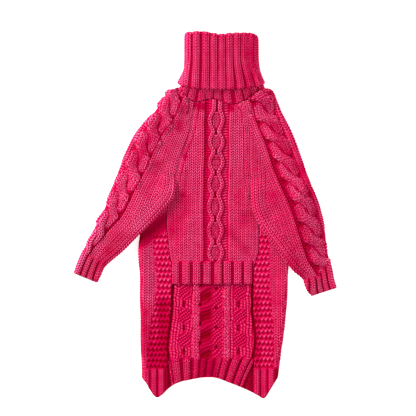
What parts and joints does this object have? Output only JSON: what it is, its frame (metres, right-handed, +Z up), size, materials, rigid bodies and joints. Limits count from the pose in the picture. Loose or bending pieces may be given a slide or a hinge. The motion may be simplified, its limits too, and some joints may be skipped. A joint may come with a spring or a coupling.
{
  "type": "dog sweater",
  "caption": "Cable-knit dog sweater with a turned-down ribbed collar, two raglan leg sleeves and a short belly panel, laid out flat with its belly side up.",
  "frame": {"origin": "middle of the base of the laid-out sweater's box, on the surface that it lies on", "axes": "+Y from the hem towards the neck, +Z up out of the surface, +X to the right of someone who looks down at it with the neck away from them"},
  "size_m": [0.3408, 0.4784, 0.0182],
  "materials": {
    "back_knit": "hot pink wool-acrylic yarn, matt with a soft fuzz",
    "belly_knit": "hot pink wool-acrylic yarn, matt with a soft fuzz",
    "sleeve_knit": "hot pink wool-acrylic yarn, matt with a soft fuzz",
    "collar_rib": "hot pink wool-acrylic yarn in rib, matt with a soft fuzz"
  },
  "bodies": {
    "root": {"back": "back_knit", "belly": "belly_knit", "sleeve_left": "sleeve_knit", "sleeve_right": "sleeve_knit", "collar": "collar_rib"}
  },
  "joints": []
}
